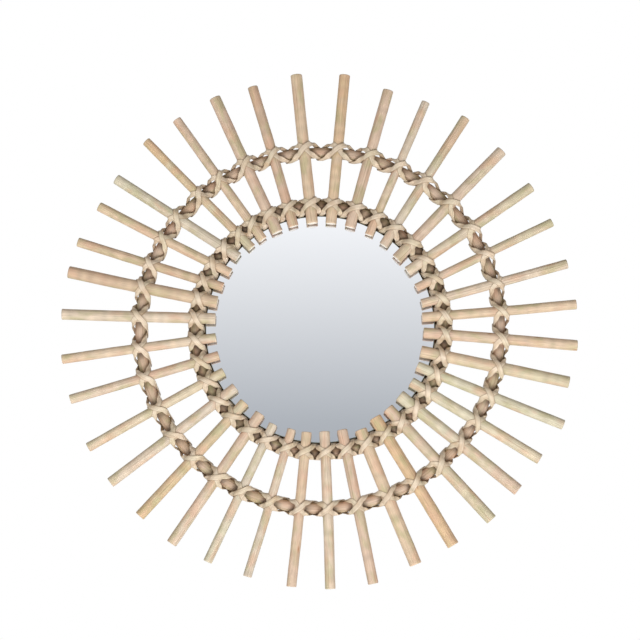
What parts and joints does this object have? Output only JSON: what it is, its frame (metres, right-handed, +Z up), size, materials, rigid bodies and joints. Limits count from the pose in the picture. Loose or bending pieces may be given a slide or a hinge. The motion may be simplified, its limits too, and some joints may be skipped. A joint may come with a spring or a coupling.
{
  "type": "wall mirror",
  "caption": "Round wall mirror framed by a sunburst of straight cane sticks lashed across two cane hoops with split peel.",
  "frame": {"origin": "centre of the flat back face, which lies on the wall", "axes": "-Y out of the front, +Y into the wall, +Z up, +X to the viewer's right"},
  "size_m": [0.6001, 0.0372, 0.6043],
  "materials": {
    "stick_cane": "bare peeled cane, matt",
    "hoop_cane": "bare cane, browner, matt",
    "peel_strip": "split peel with a slight gloss",
    "silvered_glass": "polished plain mirror",
    "fibreboard": "plain brown board",
    "zinc_plate": "zinc plated",
    "screw_steel": "zinc plated"
  },
  "bodies": {
    "root": {"stick_01": "stick_cane", "stick_02": "stick_cane", "stick_03": "stick_cane", "stick_04": "stick_cane", "stick_05": "stick_cane", "stick_06": "stick_cane", "stick_07": "stick_cane", "stick_08": "stick_cane", "stick_09": "stick_cane", "stick_10": "stick_cane", "stick_11": "stick_cane", "stick_12": "stick_cane", "stick_13": "stick_cane", "stick_14": "stick_cane", "stick_15": "stick_cane", "stick_16": "stick_cane", "stick_17": "stick_cane", "stick_18": "stick_cane", "stick_19": "stick_cane", "stick_20": "stick_cane", "stick_21": "stick_cane", "stick_22": "stick_cane", "stick_23": "stick_cane", "stick_24": "stick_cane", "stick_25": "stick_cane", "stick_26": "stick_cane", "stick_27": "stick_cane", "stick_28": "stick_cane", "stick_29": "stick_cane", "stick_30": "stick_cane", "stick_31": "stick_cane", "stick_32": "stick_cane", "stick_33": "stick_cane", "stick_34": "stick_cane", "stick_35": "stick_cane", "stick_36": "stick_cane", "stick_37": "stick_cane", "stick_38": "stick_cane", "outer_hoop": "hoop_cane", "outer_hoop_under_strip": "peel_strip", "outer_hoop_over_strip": "peel_strip", "inner_hoop": "hoop_cane", "inner_hoop_under_strip": "peel_strip", "inner_hoop_over_strip": "peel_strip", "mirror_glass": "silvered_glass", "backing_board": "fibreboard", "hanger_plate": "zinc_plate", "hanger_screw_left": "screw_steel", "hanger_screw_right": "screw_steel"}
  },
  "joints": []
}
